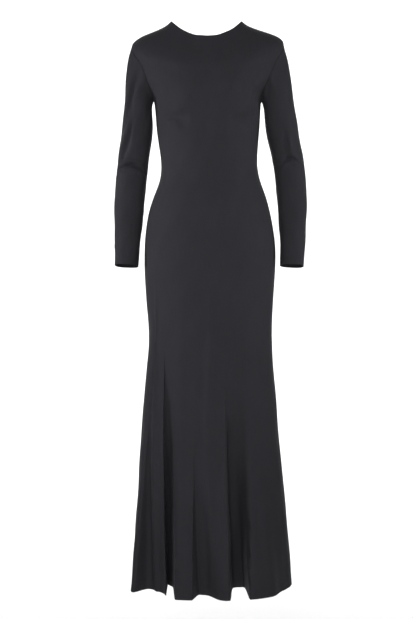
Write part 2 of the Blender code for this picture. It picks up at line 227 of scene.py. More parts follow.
# Soft creases of the body: from one place to another, each an angle and a level, with a half width and a
# height. A negative height is a trough. The bow is how far its middle arches up from a straight line.
Crease = namedtuple("Crease", "from_angle from_level to_angle to_level half_width height bow", defaults=(0,))
BODY_CREASES = (
    # Front: under the bust and down from the armholes
    Crease(208, -0.228, 246, -0.242, 0.013, -0.0085),
    Crease(344, -0.230, 298, -0.244, 0.013, -0.0085),
    Crease(343, -0.105, 334, -0.262, 0.009, -0.0060),
    Crease(333, -0.100, 322, -0.215, 0.011, 0.0026),
    Crease(350, -0.200, 336, -0.340, 0.014, -0.0022),
    Crease(201, -0.090, 206, -0.190, 0.009, -0.0014),
    Crease(212, -0.080, 216, -0.220, 0.013, 0.0016),
    Crease(250, -0.262, 290, -0.266, 0.014, -0.0010),
    # Front of the waist
    Crease(356, -0.300, 318, -0.356, 0.012, 0.0014),
    Crease(354, -0.330, 312, -0.386, 0.011, -0.0013),
    Crease(184, -0.318, 220, -0.352, 0.011, -0.0012),
    Crease(186, -0.345, 226, -0.370, 0.011, 0.0012),
    # Front of the skirt, on past the hem so that they haven't faded there
    Crease(211, -0.600, 221, -1.660, 0.008, 0.0090),
    Crease(205.5, -0.700, 214.5, -1.640, 0.012, -0.0060),
    Crease(244, -0.660, 239, -1.620, 0.008, 0.0062),
    Crease(255.0, -1.070, 251, -1.640, 0.006, -0.0040),
    Crease(274, -0.640, 266, -1.560, 0.011, 0.0050),
    Crease(285, -0.760, 276, -1.560, 0.012, 0.0016),
    Crease(290, -0.800, 279, -1.600, 0.007, 0.0026),
    Crease(320, -0.660, 301, -1.560, 0.010, 0.0050),
    # Back of the waist
    Crease(20, -0.315, 64, -0.338, 0.011, 0.0042),
    Crease(24, -0.338, 74, -0.356, 0.010, -0.0040),
    Crease(34, -0.366, 82, -0.374, 0.011, 0.0034),
    Crease(158, -0.322, 114, -0.342, 0.011, 0.0040),
    Crease(154, -0.345, 104, -0.360, 0.010, -0.0038),
    Crease(146, -0.372, 96, -0.381, 0.011, 0.0030),
    Crease(66, -0.300, 112, -0.305, 0.014, -0.0026),
    # Back, down from the armholes
    Crease(18, -0.110, 30, -0.240, 0.010, -0.0044),
    Crease(162, -0.112, 151, -0.235, 0.010, -0.0044),
    Crease(28, -0.100, 40, -0.210, 0.011, 0.0016),
    Crease(152, -0.102, 142, -0.208, 0.011, 0.0015),
    # Back of the skirt, on past the hem
    Crease(44, -0.760, 41, -1.600, 0.009, 0.0032),
    Crease(76, -0.800, 77, -1.620, 0.010, 0.0028),
    Crease(64, -0.900, 61, -1.620, 0.007, -0.0036),
    Crease(107, -0.780, 108, -1.600, 0.011, 0.0030),
    Crease(118, -0.860, 122, -1.620, 0.007, -0.0036),
    Crease(139, -0.760, 140, -1.600, 0.010, 0.0030),
)

# Creases of the sleeves, in the same way: the angle is from the outer side, with the front at 90.
RIGHT_SLEEVE_CREASES = (
    # Down the front from the cap to the elbow
    Crease(68, -0.092, 34, -0.260, 0.0060, 0.0050),
    Crease(82, -0.100, 50, -0.254, 0.0060, -0.0046),
    Crease(66, -0.210, 36, -0.362, 0.0060, 0.0052),
    Crease(78, -0.226, 50, -0.356, 0.0055, -0.0044),
    Crease(50, -0.262, 36, -0.345, 0.0050, 0.0020),
    Crease(150, -0.150, 122, -0.260, 0.0080, -0.0018),
    # Arches over the front of the elbow
    Crease(2, -0.384, 170, -0.384, 0.0042, -0.0062, 0.037),
    Crease(0, -0.395, 170, -0.395, 0.0060, 0.0034, 0.037),
    Crease(6, -0.373, 162, -0.373, 0.0060, 0.0030, 0.036),
    # Behind the elbow
    Crease(185, -0.330, 250, -0.346, 0.0070, -0.0018),
    Crease(200, -0.352, 290, -0.362, 0.0075, 0.0020),
    Crease(205, -0.368, 300, -0.378, 0.0070, -0.0018),
    # The lower arm
    Crease(150, -0.450, 188, -0.480, 0.0080, 0.0012),
    Crease(336, -0.548, 70, -0.572, 0.0070, 0.0009),
    # Back of the upper arm
    Crease(280, -0.120, 305, -0.240, 0.0080, -0.0020),
    Crease(245, -0.150, 225, -0.280, 0.0080, -0.0018),
)
LEFT_SLEEVE_CREASES = (
    # Down the front from the cap to the elbow
    Crease(100, -0.045, 104, -0.190, 0.0070, 0.0026),
    Crease(122, -0.060, 130, -0.190, 0.0050, -0.0036),
    Crease(84, -0.250, 96, -0.350, 0.0060, -0.0036),
    Crease(70, -0.256, 82, -0.346, 0.0060, 0.0034),
    # Arches over the front of the elbow
    Crease(34, -0.363, 138, -0.363, 0.0042, -0.0052, 0.033),
    Crease(36, -0.373, 136, -0.373, 0.0058, 0.0032, 0.033),
    Crease(38, -0.353, 132, -0.353, 0.0058, 0.0024, 0.032),
    # The inner side of the elbow, and behind it
    Crease(130, -0.332, 156, -0.370, 0.0050, -0.0026),
    Crease(142, -0.320, 166, -0.352, 0.0060, 0.0018),
    Crease(185, -0.330, 262, -0.350, 0.0075, 0.0020),
    Crease(192, -0.350, 275, -0.366, 0.0070, -0.0018),
    Crease(212, -0.372, 300, -0.384, 0.0070, 0.0016),
    # The outer side and the back of the upper arm
    Crease(34, -0.190, 10, -0.300, 0.0080, 0.0014),
    Crease(286, -0.118, 305, -0.230, 0.0080, -0.0020),
    Crease(250, -0.155, 228, -0.270, 0.0080, -0.0018),
)

# How a crease fades to its ends, how much and how often its width varies on the way, and the radii that
# turn its angles into lengths
CREASE_TAPER = 1.3
CREASE_SWELL = 0.35
CREASE_BEAT = 9
BODY_RADIUS = 0.125
SLEEVE_RADIUS = 0.040

# Faint unevenness of the cloth: waves so many radians round the body or sleeve and so many a metre up it
Ripple = namedtuple("Ripple", "height around up phase", defaults=(0,))
BODY_RIPPLES = (Ripple(0.0005, 7, 31), Ripple(0.0004, 13, -47, 1.3))
SKIRT_RIPPLES = (Ripple(0.0004, 29, 3),)
SLEEVE_RIPPLES = (Ripple(0.0004, 3, 55), Ripple(0.0003, 5, -83))
SKIRT_RIPPLE_REACH = 0.5

# Looks: colours, the knit's wales and courses in radians a metre, its relief, and the streaks of heather,
# so many to a metre
JERSEY = (0.0176, 0.0176, 0.0206)
JERSEY_DARKEST = 0.78
JERSEY_LIGHTEST = 1.24
THREAD = (0.011, 0.011, 0.013)
WALES = 3300
COURSES = 2900
KNIT_HEIGHT = 0.00012
FUZZ_HEIGHT = 0.00022
STREAKS_ACROSS = 420
STREAKS_UP = 26
THREAD_TWIST_HEIGHT = 0.0001

# Sockets of a colour mix node
MIX_FACTOR = 0
MIX_FIRST = 6
MIX_SECOND = 7
MIX_RESULT = 2

# Studio: the floor sweeps up behind into a wall
FLOOR_WHITE = (0.93, 0.93, 0.93)
FLOOR_LEVEL = -1.78
FLOOR_FRONT = -6.0
FLOOR_BACK = 3.2
SWEEP_RADIUS = 2.0
SWEEP_ROWS = 40
SWEEP_HALF_WIDTH = 6.0
WALL_TOP = 6.5
AIR_LIGHT = 0.13

# Soft lights: each with its place, target, width, height, power in watts, and spread in degrees
Light = namedtuple("Light", "name place target width height power spread", defaults=(180,))
LIGHTS = (
    Light("front_light", (-0.45, -4.6, 0.10), (0, 0, -0.85), 0.6, 0.6, 58),
    Light("front_fill", (-0.05, -3.3, -0.90), (0, 0, -0.90), 0.3, 0.3, 28),
    Light("right_front_light", (-2.0, -3.6, 0.0), (0, 0, -0.75), 1.2, 1.6, 28),
    Light("left_front_light", (2.0, -3.6, 0.0), (0, 0, -0.75), 1.2, 1.6, 21),
    Light("right_side_light", (-2.9, -0.4, -0.25), (0, 0, -0.42), 0.5, 0.5, 5.0, 40),
    Light("left_side_light", (2.9, -0.4, -0.25), (0, 0, -0.42), 0.5, 0.5, 3.4, 40),
    Light("top_light", (0.0, -1.6, 2.0), (0, 0, -0.2), 1.6, 1.0, 18),
    Light("back_wall_light", (0.0, 1.9, 2.6), (0, 5.2, 0.6), 5.0, 1.2, 100),
    Light("floor_light", (0.0, 3.0, 2.2), (0, 2.9, -1.8), 5.0, 1.6, 150),
)

# Camera: its place in front of the dress, and the picture's height in metres at the dress's distance
CAMERA_BACK = 2.8
CAMERA_LEVEL = -0.720
FRAME_HEIGHT = 1.6094
SENSOR = 36


# Curves and directions


def spline(knots, values, at):
    """A smooth curve through the values at rising knots (a natural cubic spline), read at other places."""
    knots = np.asarray(knots, float)
    values = np.asarray(values, float)
    at = np.clip(np.asarray(at, float), knots[0], knots[-1])
    step = np.diff(knots)
    slope = np.diff(values) / step
    count = len(knots)
    matrix = np.eye(count)
    right = np.zeros(count)
    for i in range(1, count - 1):
        matrix[i, i - 1:i + 2] = step[i - 1], 2 * (step[i - 1] + step[i]), step[i]
        right[i] = 6 * (slope[i] - slope[i - 1])
    bend = np.linalg.solve(matrix, right)
    i = np.clip(np.searchsorted(knots, at) - 1, 0, count - 2)
    low = at - knots[i]
    high = knots[i + 1] - at
    width = step[i]
    curved = (bend[i] * high**3 + bend[i + 1] * low**3) / (6 * width)
    straight = (values[i] / width - bend[i] * width / 6) * high
    return curved + straight + (values[i + 1] / width - bend[i + 1] * width / 6) * low


def section(column, level):
    """One column of the section table at any level."""
    return spline([row.level for row in SECTIONS], [getattr(row, column) for row in SECTIONS], level)


def unit(vectors):
    """The same directions at length one."""
    return vectors / np.maximum(np.linalg.norm(vectors, axis=-1, keepdims=True), 1e-12)


def turned(angle, other):
    """Signed angle from the other to this one, between minus and plus half a turn."""
    return (angle - other + math.pi) % (2 * math.pi) - math.pi


def oval_radius(angle, half_width, front, back, squareness):
    """Distance from the middle of a ring to its line, in the direction of the angle."""
    deep = np.where(np.sin(angle) < 0, front, back)
    across = (np.abs(np.cos(angle)) / half_width) ** squareness
    along = (np.abs(np.sin(angle)) / deep) ** squareness
    return (across + along) ** (-1 / squareness)


# The body of the dress


def next_fold_angle(fold):
    """Hem angle of the fold that follows round the skirt, or a full turn after the last."""
    return min([row.hem_angle for row in FOLDS if row.hem_angle > fold.hem_angle] + [360])


def drifted(angle, level):
    """Where a thread that meets the hem at this angle lies at a higher level: folds lean on their way up."""
    knots = [0.0]
    shifts = [0.0]
    for fold in sorted(FOLDS, key=lambda row: row.hem_angle):
        reach = (THIGH - HEM) / (fold.start - HEM)
        knots.append(math.radians(fold.hem_angle))
        shifts.append(math.radians(fold.start_angle - fold.hem_angle) * reach)
        if fold.hem_angle < 180 < next_fold_angle(fold):
            knots.append(RIGHT_SIDE)
            shifts.append(0.0)
    knots.append(2 * math.pi)
    shifts.append(0.0)
    up = np.clip((level - HEM) / (THIGH - HEM), 0, 1)
    fade = 1 - np.clip((level - THIGH) / (ARMPIT - THIGH), 0, 1)
    return angle + np.interp(angle, knots, shifts) * up * fade


def fold_push(fold, hem_angle, level, half_width, front, back):
    """How far a fold pushes the cloth, for a section's half width and its depths to the front and back."""
    centre = math.radians(fold.hem_angle)
    share = np.clip((fold.start - level) / (fold.start - HEM), 0, 1)
    away = turned(hem_angle, centre) * oval_radius(centre, half_width, front, back, ELLIPSE)
    before = fold.before * (fold.top_before + (1 - fold.top_before) * share)
    after = fold.after * (fold.top_after + (1 - fold.top_after) * share)
    width = np.where(away < 0, before, after)
    edge = np.where(away < 0, fold.edge, SOFT_EDGE + (fold.edge - SOFT_EDGE) * share**EDGE_GROWTH)
    return fold.depth * share**FOLD_GROWTH * np.exp(-np.abs(away / width) ** edge)


def body_point(hem_angle, level):
    """Points of the plain outer face, for arrays of angles at the hem and levels of the side line."""
    angle = drifted(hem_angle, level)
    half_width = section("half_width", level)
    front = section("front", level)
    back = section("back", level)
    radius = oval_radius(angle, half_width, front, back, section("squareness", level))
    across = radius * np.cos(angle)
    along = radius * np.sin(angle)
    deep = np.where(along < 0, front, back)
    drop = np.where(along < 0, section("front_drop", level), section("back_drop", level))
    height = level - drop * (along / deep) ** 2
    for side in (-1, 1):
        aside = (across - side * BUST_APART) / BUST_WIDTH
        above = (height - BUST_LEVEL) / BUST_HEIGHT
        along = along - BUST_FULL * np.exp(-(aside**2) - above**2) * (np.sin(angle) < 0) * np.sin(angle) ** 2
    across = across + section("centre", level)
    for fold in FOLDS:
        push = fold_push(fold, hem_angle, level, half_width, front, back)
        across = across + push * math.cos(math.radians(fold.aim))
        along = along + push * math.sin(math.radians(fold.aim))
    return np.stack([across, along, height], axis=-1)


def body_normal(hem_angle, level):
    """Outward directions of the plain outer face, from its slopes round and up the body."""
    round_body = body_point(hem_angle + NORMAL_TURN, level) - body_point(hem_angle - NORMAL_TURN, level)
    upwards = body_point(hem_angle, level + NORMAL_RISE) - body_point(hem_angle, level - NORMAL_RISE)
    return unit(np.cross(round_body, upwards))


def crease_height(creases, angle, level, radius):
    """Height of all the creases together, over a surface whose radius turns angles into lengths."""
    height = np.zeros(np.broadcast(angle, level).shape)
    for crease in creases:
        start = math.radians(crease.from_angle)
        aside = turned(angle, start) * radius
        above = level - crease.from_level
        run_aside = turned(math.radians(crease.to_angle), start) * radius
        run_above = crease.to_level - crease.from_level
        length = math.hypot(run_aside, run_above)
        share = (aside * run_aside + above * run_above) / length**2
        away = (aside * run_above - above * run_aside) / length
        within = np.clip(share, 0, 1)
        away = away + 4 * crease.bow * within * (1 - within)
        taper = np.sin(math.pi * within) ** CREASE_TAPER
        swell = 1 + CREASE_SWELL * np.sin(CREASE_BEAT * share + crease.from_angle)
        height += crease.height * taper * np.exp(-((away / (crease.half_width * swell)) ** 2))
    return height


def ripple_height(ripples, angle, level):
    """Height of the cloth's faint waves."""
    return sum(wave.height * np.sin(wave.around * angle + wave.up * level + wave.phase) for wave in ripples)


def body_creases(hem_angle, level):
    """Height of the body's creases, with a faint unevenness of the cloth and of the skirt's hang."""
    height = crease_height(BODY_CREASES, hem_angle, level, BODY_RADIUS)
    low_down = np.clip((THIGH - level) / SKIRT_RIPPLE_REACH, 0, 1)
    hang = ripple_height(SKIRT_RIPPLES, hem_angle, level) * low_down
    return height + ripple_height(BODY_RIPPLES, hem_angle, level) + hang


def armhole_levels(count):
    """Angles round the armhole, from 0 at the armpit to half a turn at the shoulder tip, and their levels."""
    turns = np.linspace(0, math.pi, count + 1)
    return turns, ARMPIT + (SHOULDER_TIP - ARMPIT) * (1 - np.cos(turns)) / 2


def armhole_angle(level, reach):
    """How far round from the side line the armhole's edge lies, for its reach to the front or back."""
    middle = (ARMPIT + SHOULDER_TIP) / 2
    half = (SHOULDER_TIP - ARMPIT) / 2
    open_here = np.sqrt(np.clip(1 - ((level - middle) / half) ** 2, 0, 1))
    along = reach * open_here
    deep = section("front" if reach == ARMHOLE_FRONT else "back", level)
    squareness = section("squareness", level)
    across = section("half_width", level) * (1 - (along / deep) ** squareness) ** (1 / squareness)
    return np.arctan2(along, across)


def hem_columns(first):
    """Shares of a panel's width at its columns: close where the hem's line is long or turns."""
    fine = np.linspace(first, first + math.pi, HEM_SAMPLES)
    line = body_point(fine, np.full(fine.shape, HEM))[:, :2]
    steps = np.diff(line, axis=0)
    heading = np.unwrap(np.arctan2(steps[:, 1], steps[:, 0]))
    turning = np.abs(np.diff(heading, prepend=heading[0]))
    measure = np.linalg.norm(steps, axis=1) + TURN_IN_METRES * turning
    along = np.concatenate([[0], np.cumsum(measure)])
    shares = (np.interp(np.linspace(0, along[-1], PANEL_COLUMNS + 1), along, fine) - first) / math.pi
    near_seam = np.array(NEAR_SEAM_COLUMNS)
    return np.unique(np.round(np.concatenate([shares, near_seam, 1 - near_seam]), 6))


def panel_levels():
    """Levels of a panel's rows, from the hem to the neckline, close at the turned edges."""
    turned_up = HEM + np.array(HEM_ROWS)
    skirt = np.linspace(HEM + HEM_ROWS[-1], THIGH, SKIRT_ROWS + 1)[1:]
    body = np.linspace(THIGH, ARMPIT, BODY_ROWS + 1)[1:]
    armhole = armhole_levels(ARMHOLE_ROWS)[1][1:]
    yoke = np.linspace(SHOULDER_TIP, NECK - NECK_ROWS[0], YOKE_ROWS + 1)[1:]
    neckline = NECK - np.array(NECK_ROWS[1:])
    return np.concatenate([turned_up, skirt, body, armhole, yoke, neckline])


def panel_surface(first, reach, shares, levels):
    """Angles and levels of a panel's grid, with its sides drawn in for the seam's gap and the armhole."""
    inset = SEAM_GAP / 2 / section("half_width", levels)
    beside_armhole = (levels > ARMPIT) * (levels < SHOULDER_TIP)
    opening = armhole_angle(np.clip(levels, ARMPIT, SHOULDER_TIP), reach) * beside_armhole
    inset = np.maximum(inset, opening)
    share = shares[None, :]
    angles = first + share * math.pi + inset[:, None] * (1 - 2 * share) * np.abs(1 - 2 * share)
    return angles, np.broadcast_to(levels[:, None], angles.shape)


def grid_lengths(grid, axis):
    """Distance along the rows or columns of a grid from its first edge."""
    steps = np.linalg.norm(np.diff(grid, axis=axis), axis=-1)
    start = np.zeros_like(np.take(steps, [0], axis=axis))
    return np.cumsum(np.concatenate([start, steps], axis=axis), axis=axis)


def dip(distance, at, groove):
    """A groove along an edge, at a distance from it."""
    return -groove.depth * np.exp(-(((distance - at) / groove.half_width) ** 2))


def panel(name, node, first, reach):
    """The front or back as a fine shell, half way round the body from the side line at the first angle."""
    shares = hem_columns(first)
    levels = panel_levels()
    angles, heights = panel_surface(first, reach, shares, levels)
    grid = body_point(angles, heights)
    normals = grid_normals(grid, False)
    across = grid_lengths(grid, 1)
    up = grid_lengths(grid, 0)
    from_side = np.minimum(across, across[:, -1:] - across)
    from_neck = up[-1:] - up
    lift = body_creases(angles, heights) * np.clip(from_side / SEAM_HOLD, 0, 1)
    lift = lift + dip(from_side, 0, SEAM_GROOVE)
    for row in HEM_STITCHES:
        lift = lift + dip(up, HEM_TURN + row, HEM_GROOVE)
    lift = lift + dip(from_neck, NECK_TURN, NECK_GROOVE) + dip(from_neck, 0, NECK_FOLD)
    open_here = np.sin(math.pi * np.clip((levels - ARMPIT) / (SHOULDER_TIP - ARMPIT), 0, 1)) ** 2
    lift = lift + SEAM_FULLNESS * open_here[:, None] * np.exp(-((from_side / SEAM_REACH) ** 2))
    grid = grid + lift[..., None] * normals
    thickness = np.full(len(levels), CLOTH)
    thickness[levels < HEM + HEM_TURN] = TURNED_CLOTH
    thickness[-NECK_TURN_ROWS:] = TURNED_CLOTH
    piece = shell(name, grid, thickness, False)
    dress_piece(piece, node)
    return piece, grid


def side_allowance(name, side_line):
    """The allowances of a side seam, pressed together into a narrow band inside the dress."""
    levels = panel_levels()
    levels = levels[levels < ARMPIT - ALLOWANCE_END]
    turns = np.linspace(-ALLOWANCE_TURN, ALLOWANCE_TURN, ALLOWANCE_COLUMNS)
    angles = np.broadcast_to(side_line + turns, (len(levels), ALLOWANCE_COLUMNS))
    heights = np.broadcast_to(levels[:, None], angles.shape)
    grid = body_point(angles, heights) - ALLOWANCE_DEPTH * body_normal(angles, heights)
    band = shell(name, grid, np.full(len(levels), ALLOWANCE_CLOTH), False)
    band.data.materials.append(jersey_material())
    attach(band, "root")
    return band


# The sleeves


def armhole_loop(side, count):
    """The armhole's edge from the shoulder tip down the front to the armpit and up the back.

    The side is 1 for the wearer's left and -1 for the right. The edge comes with the body's outward
    directions there, and with the angles round the armhole.
    """
    turns, levels = armhole_levels(count)
    side_line = LEFT_SIDE if side > 0 else RIGHT_SIDE
    towards_front = -1.0 if side > 0 else 1.0
    front = side_line + towards_front * armhole_angle(levels, ARMHOLE_FRONT)
    back = side_line - towards_front * armhole_angle(levels, ARMHOLE_BACK)
    angles = np.concatenate([front[::-1], back[1:-1]])
    levels = np.concatenate([levels[::-1], levels[1:-1]])
    normals = body_normal(angles, levels)
    return body_point(angles, levels), normals, np.concatenate([turns[::-1], turns[1:-1]])


def sleeve_ring(side, table, level, clock):
    """Points of a sleeve's ring at a level. Clock is the angle from its outer side, through the front."""
    knots = [row.level for row in reversed(table)]

    def column(name, at):
        return spline(knots, [getattr(row, name) for row in reversed(table)], at)

    high = min(level + LEAN_STEP, knots[-1])
    low = max(level - LEAN_STEP, knots[0])
    lean_out = (column("out", high) - column("out", low)) / (high - low)
    lean_back = (column("back", high) - column("back", low)) / (high - low)
    flat = oval_radius(clock, 1, 1, 1, SLEEVE_SQUARENESS)
    out = column("half_width", level) * flat * np.cos(clock)
    front = column("half_depth", level) * flat * np.sin(clock)
    x = side * (column("out", level) + out)
    y = column("back", level) - front
    z = level - lean_out * out + lean_back * front
    return np.stack([x, y, z], axis=-1)


def leaving(turn, side):
    """Direction in which the sleeve leaves the armhole, for angles round it up from the armpit."""
    share = (turn / math.pi)[:, None]
    way = (
        (1 - share) ** 2 * np.array(LEAVE_ARMPIT)
        + 2 * share * (1 - share) * np.array(LEAVE_MIDDLE)
        + share**2 * np.array(LEAVE_SHOULDER)
    )
    return unit(np.stack([side * way[:, 0], np.zeros(len(turn)), way[:, 1]], axis=-1))


def cap_rows(start, end, way, down):
    """Rows of the sleeve's cap, along smooth curves from the armhole's edge to the sleeve's first ring."""
    reach = np.linalg.norm(end - start, axis=-1, keepdims=True)
    rows = []
    for share in np.linspace(0, 1, CAP_ROWS + 1)[:-1] ** CAP_CLOSENESS:
        leave = (share**3 - 2 * share**2 + share) * LEAVE_PULL * reach * way
        arrive = (share**3 - share**2) * reach * down
        far = 3 * share**2 - 2 * share**3
        rows.append((1 - far) * start + far * end + leave + arrive)
    return rows


def sleeve_levels(table):
    """Levels of a sleeve's rings from its first to the cuff, close at the turned edge."""
    turned_up = table[-1].level + np.array(CUFF_ROWS)
    plain = np.linspace(table[0].level, table[-1].level + CUFF_ROWS[0], SLEEVE_ROWS + 1)[:-1]
    return np.concatenate([plain, turned_up])


def sleeve(name, node, side, table, creases):
    """A sleeve as a fine shell: the cap, the elbow's creases and the turned cuff."""
    loop, body_face, turns = armhole_loop(side, SLEEVE_COLUMNS // 2)
    clock = np.arange(SLEEVE_COLUMNS) * 2 * math.pi / SLEEVE_COLUMNS
    way = leaving(turns, side)
    shoulder_share = (turns / math.pi)[:, None]
    start = loop + SEAM_GAP * unit(way + (1 - shoulder_share) * body_face)
    top = table[0].level
    end = sleeve_ring(side, table, top, clock)
    down = unit(sleeve_ring(side, table, top - RING_STEP, clock) - end)
    rows = cap_rows(start, end, way, down)
    rows += [sleeve_ring(side, table, level, clock) for level in sleeve_levels(table)]
    grid = np.array(rows)[::-1]
    clocks = np.broadcast_to(clock, grid.shape[:2])
    if side > 0:
        grid = grid[:, ::-1]
        clocks = clocks[:, ::-1]
        body_face = body_face[::-1]
        shoulder_share = shoulder_share[::-1]
    normals = grid_normals(grid, True)
    edge = unit(shoulder_share * body_face + (1 - shoulder_share) * normals[-1])
    up = grid_lengths(grid, 0)
    from_armhole = up[-1:] - up
    near_edge = np.clip(1 - from_armhole / SEAM_HOLD, 0, 1)[..., None]
    normals = unit((1 - near_edge) * normals + near_edge * edge)
    height = crease_height(creases, clocks, grid[..., 2], SLEEVE_RADIUS)
    ripple = ripple_height(SLEEVE_RIPPLES, clocks, grid[..., 2])
    lift = (height + ripple) * np.clip(from_armhole / SEAM_HOLD, 0, 1) + dip(from_armhole, 0, SEAM_GROOVE)
    for row in CUFF_STITCHES:
        lift = lift + dip(up, CUFF_TURN + row, CUFF_GROOVE)
    open_here = np.sin(math.pi * (1 - np.cos(math.pi * shoulder_share[:, 0])) / 2) ** 2
    grid = grid + lift[..., None] * normals
    fullness = SEAM_FULLNESS * open_here * np.exp(-((from_armhole / SEAM_REACH) ** 2))
    grid = grid + fullness[..., None] * body_face
    thickness = np.full(len(grid), CLOTH)
    thickness[:CUFF_TURN_ROWS] = TURNED_CLOTH
    piece = shell(name, grid, thickness, True, edge)
    dress_piece(piece, node)
    return piece, grid


# Shells and stitches


def new_object(name, data):
    """A new object in the scene, for its mesh, light or camera."""
    obj = bpy.data.objects.new(name, data)
    bpy.context.scene.collection.objects.link(obj)
    return obj


def grid_normals(grid, closed):
    """Outward directions of a grid's points, from its neighbours round and along it."""
    if closed:
        round_tube = np.roll(grid, -1, axis=1) - np.roll(grid, 1, axis=1)
    else:
        round_tube = np.gradient(grid, axis=1)
    return unit(np.cross(round_tube, np.gradient(grid, axis=0)))


def shell(name, outer, thickness, closed, top_normals=None):
    """A closed wall of cloth: an outer skin through the grid, an inner skin inside it, and the cut edges."""
    normals = grid_normals(outer, closed)
    if top_normals is not None:
        normals[-1] = top_normals
    inner = outer - thickness[:, None, None] * normals
    rows, columns = outer.shape[:2]
    skin = rows * columns
    index = np.arange(skin).reshape(rows, columns)
    beside = np.roll(index, -1, axis=1) if closed else index[:, 1:]
    index = index if closed else index[:, :-1]
    faces = np.stack([index[:-1], beside[:-1], beside[1:], index[1:]], axis=-1).reshape(-1, 4)
    inside = faces[:, ::-1] + skin
    low = np.stack([beside[0], index[0], index[0] + skin, beside[0] + skin], axis=-1)
    high = np.stack([index[-1], beside[-1], beside[-1] + skin, index[-1] + skin], axis=-1)
    parts = [faces, inside, low, high]
    if not closed:
        ends = np.arange(skin).reshape(rows, columns)
        first, last = ends[:, 0], ends[:, -1]
        parts.append(np.stack([first[:-1], first[1:], first[1:] + skin, first[:-1] + skin], axis=-1))
        parts.append(np.stack([last[1:], last[:-1], last[:-1] + skin, last[1:] + skin], axis=-1))
    points = np.concatenate([outer.reshape(-1, 3), inner.reshape(-1, 3)])
    mesh = bpy.data.meshes.new(name)
    mesh.from_pydata(points.tolist(), [], np.concatenate(parts).tolist())
    mesh.validate()
    add_cut_lengths(mesh, outer)
    mesh.shade_smooth()
    mesh.set_sharp_from_angle(angle=math.radians(SHARP_EDGE))
    return new_object(name, mesh)


def add_cut_lengths(mesh, outer):
    """Lengths across and up the cut piece, kept on its points so that the knit runs with the cloth."""
    across = grid_lengths(outer, 1)
    across = across - across[:, across.shape[1] // 2][:, None]
    up = grid_lengths(outer, 0)
    up = np.broadcast_to(up.mean(axis=1, keepdims=True), up.shape)
    for label, values in (("across", across), ("up", up)):
        layer = mesh.attributes.new(label, "FLOAT", "POINT")
        layer.data.foreach_set("value", np.tile(values.reshape(-1), 2).astype(np.float32))


def dress_piece(piece, node):
    """The shell takes the place of the solid, which is hidden, rides with the root body and takes the jersey
    finish.
    """
    piece.data.materials.append(jersey_material())
    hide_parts(node)
    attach(piece, "root")


def add_stitch(points, faces, middle, face):
    """One stitch: rings of thread along its middle line, which rises from the cloth and dips back in."""
    ahead = unit(middle[-1] - middle[0])
    aside = unit(np.cross(face, ahead))
    sizes = THREAD_RADIUS * STITCH_SIZES
    rises = THREAD_RADIUS * STITCH_RISES
    sides = THREAD_SIDES
    first = len(points)
    for at, up, over, size, rise in zip(middle, face, aside, sizes, rises):
        for i in range(sides):
            turn = 2 * math.pi * i / sides
            points.append(at + up * (rise + size * math.cos(turn)) + over * size * math.sin(turn))
    last = len(STITCH_PLACES) - 1
    for ring in range(last):
        for i in range(sides):
            a = first + ring * sides + i
            b = first + ring * sides + (i + 1) % sides
            faces.append((b, a, a + sides, b + sides))
    faces.append(tuple(first + i for i in range(sides)))
    faces.append(tuple(first + last * sides + sides - 1 - i for i in range(sides)))


def stitches(name, lines):
    """Threads laid end to end along lines on the cloth, each line its points and outward directions."""
    points = []
    faces = []
    for line, outward in lines:
        along = np.concatenate([[0], np.cumsum(np.linalg.norm(np.diff(line, axis=0), axis=1))])
        end = along[-1] - STITCH_LENGTH - STITCH_MARGIN
        for start in np.arange(STITCH_MARGIN, end, STITCH_LENGTH + STITCH_GAP):
            places = start + STITCH_LENGTH * STITCH_PLACES
            middle = np.stack([np.interp(places, along, line[:, i]) for i in range(3)], axis=-1)
            face = unit(np.stack([np.interp(places, along, outward[:, i]) for i in range(3)], axis=-1))
            add_stitch(points, faces, middle, face)
    mesh = bpy.data.meshes.new(name)
    mesh.from_pydata([tuple(point) for point in points], [], faces)
    mesh.validate()
    mesh.shade_smooth()
    mesh.materials.append(thread_material())
    obj = new_object(name, mesh)
    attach(obj, "root")
    return obj


def row_line(grid, closed, distance, from_top=False):
    """A line round a shell at a distance from its lower or upper edge, with its outward directions."""
    normals = grid_normals(grid, closed)
    up = grid_lengths(grid, 0)
    if from_top:
        grid, normals, up = grid[::-1], normals[::-1], (up[-1:] - up)[::-1]
    line = []
    outward = []
    for column in range(grid.shape[1]):
        line.append([np.interp(distance, up[:, column], grid[:, column, i]) for i in range(3)])
        outward.append([np.interp(distance, up[:, column], normals[:, column, i]) for i in range(3)])
    line = np.array(line)
    outward = unit(np.array(outward))
    if closed:
        line = np.concatenate([line, line[:1]])
        outward = np.concatenate([outward, outward[:1]])
    return line, outward


# Materials


class Value:
    """A socket of a material's nodes, with the operators that build its maths."""

    def __init__(self, tree, socket):
        self.tree = tree
        self.socket = socket

    def maths(self, operation, *others):
        node = self.tree.nodes.new("ShaderNodeMath")
        node.operation = operation
        for place, value in zip(node.inputs, others):
            if isinstance(value, Value):
                self.tree.links.new(value.socket, place)
            else:
                place.default_value = value
        return Value(self.tree, node.outputs[0])

    def __add__(self, other):
        return self.maths("ADD", self, other)

    def __radd__(self, other):
        return self.maths("ADD", other, self)

    def __sub__(self, other):
        return self.maths("SUBTRACT", self, other)

    def __rsub__(self, other):
        return self.maths("SUBTRACT", other, self)

    def __mul__(self, other):
        return self.maths("MULTIPLY", self, other)

    def __rmul__(self, other):
        return self.maths("MULTIPLY", other, self)

    def sine(self):
        return self.maths("SINE", self)


